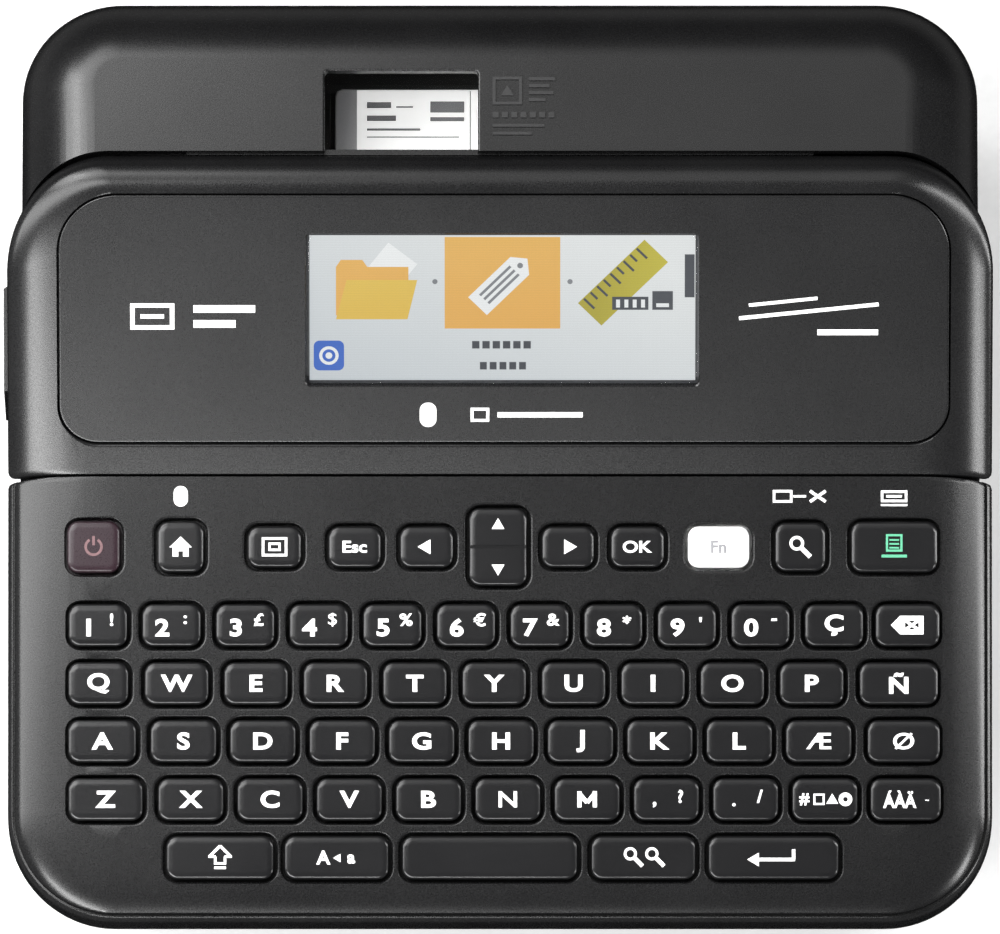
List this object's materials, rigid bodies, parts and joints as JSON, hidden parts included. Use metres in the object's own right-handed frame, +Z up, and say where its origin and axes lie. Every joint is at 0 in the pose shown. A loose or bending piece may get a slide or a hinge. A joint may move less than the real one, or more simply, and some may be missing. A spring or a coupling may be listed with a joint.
{
  "type": "label maker",
  "caption": "Desktop label maker with a sloping letter keyboard, a tilted display housing and a rear cover with a cassette window, hinged as one lid.",
  "frame": {"origin": "middle of the overall box, on the surface that the feet stand on", "axes": "+X to the right of the person typing, +Y from the keyboard to the rear cover, +Z up"},
  "size_m": [0.2022, 0.1842, 0.0827],
  "materials": {
    "shell": "fine matte texture",
    "bezel": "smooth satin",
    "key": "matte",
    "white_key": "matte",
    "inner_plastic": "moulded",
    "wrap": "shrink wrap",
    "rubber": "matte",
    "board": "solder mask",
    "head_metal": "machined",
    "motor_steel": "satin",
    "socket_steel": "satin",
    "pin_steel": "satin",
    "blade_steel": "ground",
    "gear_plastic": "natural acetal",
    "cassette_plastic": "moulded",
    "paper": "coated",
    "ribbon": "wound film",
    "lens": "clear",
    "screen": "lit display"
  },
  "bodies": {
    "base": {"bottom_case": "shell", "keyboard_deck": "shell", "keypad_mat": "rubber", "keypad_board": "board", "main_board": "board", "mechanism_frame": "inner_plastic", "print_head": "head_metal", "feed_motor": "motor_steel", "cutter_guide": "inner_plastic", "exit_guide": "shell", "dc_jack": "inner_plastic", "usb_port": "socket_steel", "hinge_pin_left": "pin_steel", "hinge_pin_right": "pin_steel", "battery_pack": "wrap", "foot_1": "rubber", "foot_2": "rubber", "foot_3": "rubber", "foot_4": "rubber", "cassette_shell": "cassette_plastic", "cassette_label": "paper", "label_tape": "paper"},
    "lid": {"display_housing": "shell", "rear_cover": "shell", "bezel_panel": "bezel", "display_lens": "lens", "lcd_module": "screen", "display_board": "board", "lid_liner": "inner_plastic", "cassette_window": "lens"},
    "battery_door": {"battery_door": "shell"},
    "roller_holder": {"roller_holder": "inner_plastic"},
    "platen": {"platen_roller": "rubber"},
    "motor_gear": {"motor_gear": "gear_plastic"},
    "idler_gear": {"idler_gear": "gear_plastic"},
    "ribbon_drive": {"ribbon_drive": "gear_plastic"},
    "ribbon_spool": {"ribbon_spool": "ribbon"},
    "tape_spool": {"tape_spool": "paper"},
    "cutter": {"cutter_blade": "blade_steel"},
    "key_power": {"key_power": "key"},
    "key_home": {"key_home": "key"},
    "key_preview": {"key_preview": "key"},
    "key_escape": {"key_escape": "key"},
    "key_left": {"key_left": "key"},
    "key_rocker": {"key_rocker": "key"},
    "key_right": {"key_right": "key"},
    "key_ok": {"key_ok": "key"},
    "key_function": {"key_function": "white_key"},
    "key_search": {"key_search": "key"},
    "key_print": {"key_print": "key"},
    "key_shift": {"key_shift": "key"},
    "key_capitals": {"key_capitals": "key"},
    "key_space": {"key_space": "key"},
    "key_zoom": {"key_zoom": "key"},
    "key_enter": {"key_enter": "key"},
    "keys_number_row": {"keys_number_row": "key"},
    "keys_upper_row": {"keys_upper_row": "key"},
    "keys_home_row": {"keys_home_row": "key"},
    "keys_lower_row": {"keys_lower_row": "key"}
  },
  "joints": [
    {"name": "lid_hinge", "type": "hinge", "parent": "base", "child": "lid", "pos_m": [0.0004, 0.08845, 0.0575], "axis": [-1, 0, 0], "range_deg": [0, 80]},
    {"name": "battery_door_slide", "type": "slide", "parent": "base", "child": "battery_door", "axis": [0, -1, 0], "range_m": [0, 0.006]},
    {"name": "holder_swing", "type": "hinge", "parent": "base", "child": "roller_holder", "pos_m": [0.0194, 0.02735, 0.044], "axis": [0, 0, 1], "range_deg": [0, 4.6]},
    {"name": "motor_spin", "type": "hinge", "parent": "base", "child": "motor_gear", "pos_m": [-0.0346, 0.04235, 0.027], "axis": [0, 0, 1], "continuous": true},
    {"name": "idler_spin", "type": "hinge", "parent": "base", "child": "idler_gear", "pos_m": [-0.0196, 0.04235, 0.027], "axis": [0, 0, 1], "continuous": true},
    {"name": "ribbon_drive_spin", "type": "hinge", "parent": "base", "child": "ribbon_drive", "pos_m": [-0.0156, 0.06195, 0.027], "axis": [0, 0, 1], "continuous": true},
    {"name": "ribbon_spool_spin", "type": "hinge", "parent": "base", "child": "ribbon_spool", "pos_m": [-0.0156, 0.06195, 0.044], "axis": [0, 0, 1], "continuous": true},
    {"name": "tape_spool_spin", "type": "hinge", "parent": "base", "child": "tape_spool", "pos_m": [0.0134, 0.05595, 0.044], "axis": [0, 0, 1], "continuous": true},
    {"name": "platen_spin", "type": "hinge", "parent": "roller_holder", "child": "platen", "pos_m": [-0.0196, 0.02735, 0.044], "axis": [0, 0, 1], "continuous": true},
    {"name": "cutter_slide", "type": "slide", "parent": "base", "child": "cutter", "axis": [0, 1, 0], "range_m": [0, 0.004], "stiffness_N_per_m": 200},
    {"name": "key_power_press", "type": "slide", "parent": "base", "child": "key_power", "axis": [0, 0.2079, -0.9781], "range_m": [0, 0.001], "stiffness_N_per_m": 400},
    {"name": "key_home_press", "type": "slide", "parent": "base", "child": "key_home", "axis": [0, 0.2079, -0.9781], "range_m": [0, 0.001], "stiffness_N_per_m": 400},
    {"name": "key_preview_press", "type": "slide", "parent": "base", "child": "key_preview", "axis": [0, 0.2079, -0.9781], "range_m": [0, 0.001], "stiffness_N_per_m": 400},
    {"name": "key_escape_press", "type": "slide", "parent": "base", "child": "key_escape", "axis": [0, 0.2079, -0.9781], "range_m": [0, 0.001], "stiffness_N_per_m": 400},
    {"name": "key_left_press", "type": "slide", "parent": "base", "child": "key_left", "axis": [0, 0.2079, -0.9781], "range_m": [0, 0.001], "stiffness_N_per_m": 400},
    {"name": "key_rocker_tilt", "type": "hinge", "parent": "base", "child": "key_rocker", "pos_m": [0, -0.01697, 0.0434], "axis": [1, 0, 0], "range_deg": [-5, 5], "stiffness_Nm_per_rad": 0.02},
    {"name": "key_right_press", "type": "slide", "parent": "base", "child": "key_right", "axis": [0, 0.2079, -0.9781], "range_m": [0, 0.001], "stiffness_N_per_m": 400},
    {"name": "key_ok_press", "type": "slide", "parent": "base", "child": "key_ok", "axis": [0, 0.2079, -0.9781], "range_m": [0, 0.001], "stiffness_N_per_m": 400},
    {"name": "key_function_press", "type": "slide", "parent": "base", "child": "key_function", "axis": [0, 0.2079, -0.9781], "range_m": [0, 0.001], "stiffness_N_per_m": 400},
    {"name": "key_search_press", "type": "slide", "parent": "base", "child": "key_search", "axis": [0, 0.2079, -0.9781], "range_m": [0, 0.001], "stiffness_N_per_m": 400},
    {"name": "key_print_press", "type": "slide", "parent": "base", "child": "key_print", "axis": [0, 0.2079, -0.9781], "range_m": [0, 0.001], "stiffness_N_per_m": 400},
    {"name": "key_shift_press", "type": "slide", "parent": "base", "child": "key_shift", "axis": [0, 0.2079, -0.9781], "range_m": [0, 0.001], "stiffness_N_per_m": 400},
    {"name": "key_capitals_press", "type": "slide", "parent": "base", "child": "key_capitals", "axis": [0, 0.2079, -0.9781], "range_m": [0, 0.001], "stiffness_N_per_m": 400},
    {"name": "key_space_press", "type": "slide", "parent": "base", "child": "key_space", "axis": [0, 0.2079, -0.9781], "range_m": [0, 0.001], "stiffness_N_per_m": 400},
    {"name": "key_zoom_press", "type": "slide", "parent": "base", "child": "key_zoom", "axis": [0, 0.2079, -0.9781], "range_m": [0, 0.001], "stiffness_N_per_m": 400},
    {"name": "key_enter_press", "type": "slide", "parent": "base", "child": "key_enter", "axis": [0, 0.2079, -0.9781], "range_m": [0, 0.001], "stiffness_N_per_m": 400},
    {"name": "keys_number_row_press", "type": "slide", "parent": "base", "child": "keys_number_row", "axis": [0, 0.2079, -0.9781], "range_m": [0, 0.001], "stiffness_N_per_m": 1500},
    {"name": "keys_upper_row_press", "type": "slide", "parent": "base", "child": "keys_upper_row", "axis": [0, 0.2079, -0.9781], "range_m": [0, 0.001], "stiffness_N_per_m": 1500},
    {"name": "keys_home_row_press", "type": "slide", "parent": "base", "child": "keys_home_row", "axis": [0, 0.2079, -0.9781], "range_m": [0, 0.001], "stiffness_N_per_m": 1500},
    {"name": "keys_lower_row_press", "type": "slide", "parent": "base", "child": "keys_lower_row", "axis": [0, 0.2079, -0.9781], "range_m": [0, 0.001], "stiffness_N_per_m": 1500}
  ],
  "couplings": [
    {"joint": "holder_swing", "follows": "lid_hinge", "ratio": 0.0575},
    {"joint": "motor_spin", "follows": "tape_spool_spin", "ratio": 4},
    {"joint": "idler_spin", "follows": "tape_spool_spin", "ratio": -2},
    {"joint": "ribbon_drive_spin", "follows": "tape_spool_spin", "ratio": 2},
    {"joint": "ribbon_spool_spin", "follows": "tape_spool_spin", "ratio": 2},
    {"joint": "platen_spin", "follows": "tape_spool_spin", "ratio": 4}
  ]
}
